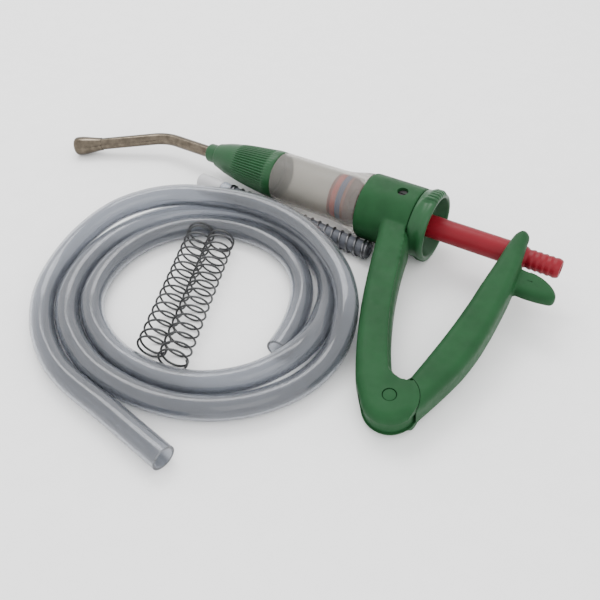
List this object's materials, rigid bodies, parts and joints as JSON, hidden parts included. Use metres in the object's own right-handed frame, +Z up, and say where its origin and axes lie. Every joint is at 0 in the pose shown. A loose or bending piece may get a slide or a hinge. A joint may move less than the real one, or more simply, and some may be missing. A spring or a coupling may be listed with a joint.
{
  "type": "livestock drench gun with suction hose",
  "caption": "Hand-squeezed drench gun: green pistol body with clear dosing barrel, bent metal nozzle, red piston rod and coiled clear hose.",
  "frame": {"origin": "bottom centre of the box around the gun, the springs and the armoured tube, on the table they lie on", "axes": "+X from the nozzle towards the hose barb, +Y from the handle pivot towards the barrel, +Z up from the table"},
  "size_m": [0.4144, 0.2724, 0.0542],
  "materials": {
    "green_body": "fine-textured moulded nylon",
    "green_trim": "glossy moulded nylon",
    "clear_barrel": "translucent, slightly frosted",
    "red_rod": "glossy moulded",
    "nozzle_metal": "satin nickel plate",
    "steel": "plain drawn wire and turned steel",
    "black_rubber": "matt",
    "orange_seal": "matt",
    "blue_seal": "matt",
    "piston_plastic": "moulded",
    "white_plastic": "moulded",
    "grey_tube": "extruded",
    "pale_tube": "clear extruded",
    "hose_pvc": "clear extruded vinyl"
  },
  "bodies": {
    "pump_body": {"nozzle_tube": "nozzle_metal", "nozzle_tip": "nozzle_metal", "nozzle_ferrule": "nozzle_metal", "nozzle_o_ring": "black_rubber", "front_cap": "green_trim", "outlet_valve_seat": "white_plastic", "outlet_valve_spring": "steel", "barrel": "clear_barrel", "barrel_seal": "black_rubber", "pistol_housing": "green_body", "lock_pin": "steel", "rod_guide": "white_plastic", "pivot_pin": "green_body", "lever_return_spring": "steel", "hose": "hose_pvc", "hose_spring_front": "steel", "hose_spring_back": "steel", "armoured_tube": "grey_tube", "armour_spring": "steel", "draw_off_tip": "white_plastic", "tip_collar": "pale_tube"},
    "plunger": {"piston_rod": "red_rod", "piston_head": "piston_plastic", "piston_seal_front": "orange_seal", "piston_seal_rear": "blue_seal", "inlet_valve_spring": "steel"},
    "lever": {"squeeze_lever": "green_body"},
    "dose_dial": {"dose_ring": "green_trim"},
    "outlet_ball": {"outlet_valve_ball": "steel"},
    "inlet_ball": {"inlet_valve_ball": "steel"}
  },
  "joints": [
    {"name": "lever_squeeze", "type": "hinge", "parent": "pump_body", "child": "lever", "pos_m": [0.14959, -0.06345, 0.01261], "axis": [-0.0484, -0.1171, 0.9919], "range_deg": [0, 19.7], "stiffness_Nm_per_rad": 0.6, "springref_deg": -20.05},
    {"name": "rod_slide", "type": "slide", "parent": "pump_body", "child": "plunger", "axis": [-0.9988, 0.0057, -0.0481], "range_m": [0, 0.05003]},
    {"name": "dose_ring_turn", "type": "hinge", "parent": "pump_body", "child": "dose_dial", "pos_m": [0.10614, 0.07981, 0.0274], "axis": [0.9988, -0.0057, 0.0481], "range_deg": [-90, 90]},
    {"name": "outlet_valve_lift", "type": "slide", "parent": "pump_body", "child": "outlet_ball", "axis": [-0.9988, 0.0057, -0.0481], "range_m": [0, 0.0025], "stiffness_N_per_m": 40, "springref_m": -0.002},
    {"name": "inlet_valve_lift", "type": "slide", "parent": "plunger", "child": "inlet_ball", "axis": [-0.9988, 0.0057, -0.0481], "range_m": [0, 0.0018], "stiffness_N_per_m": 40, "springref_m": -0.002}
  ],
  "couplings": [
    {"joint": "rod_slide", "follows": "lever_squeeze", "m_per_rad": 0.1455}
  ]
}
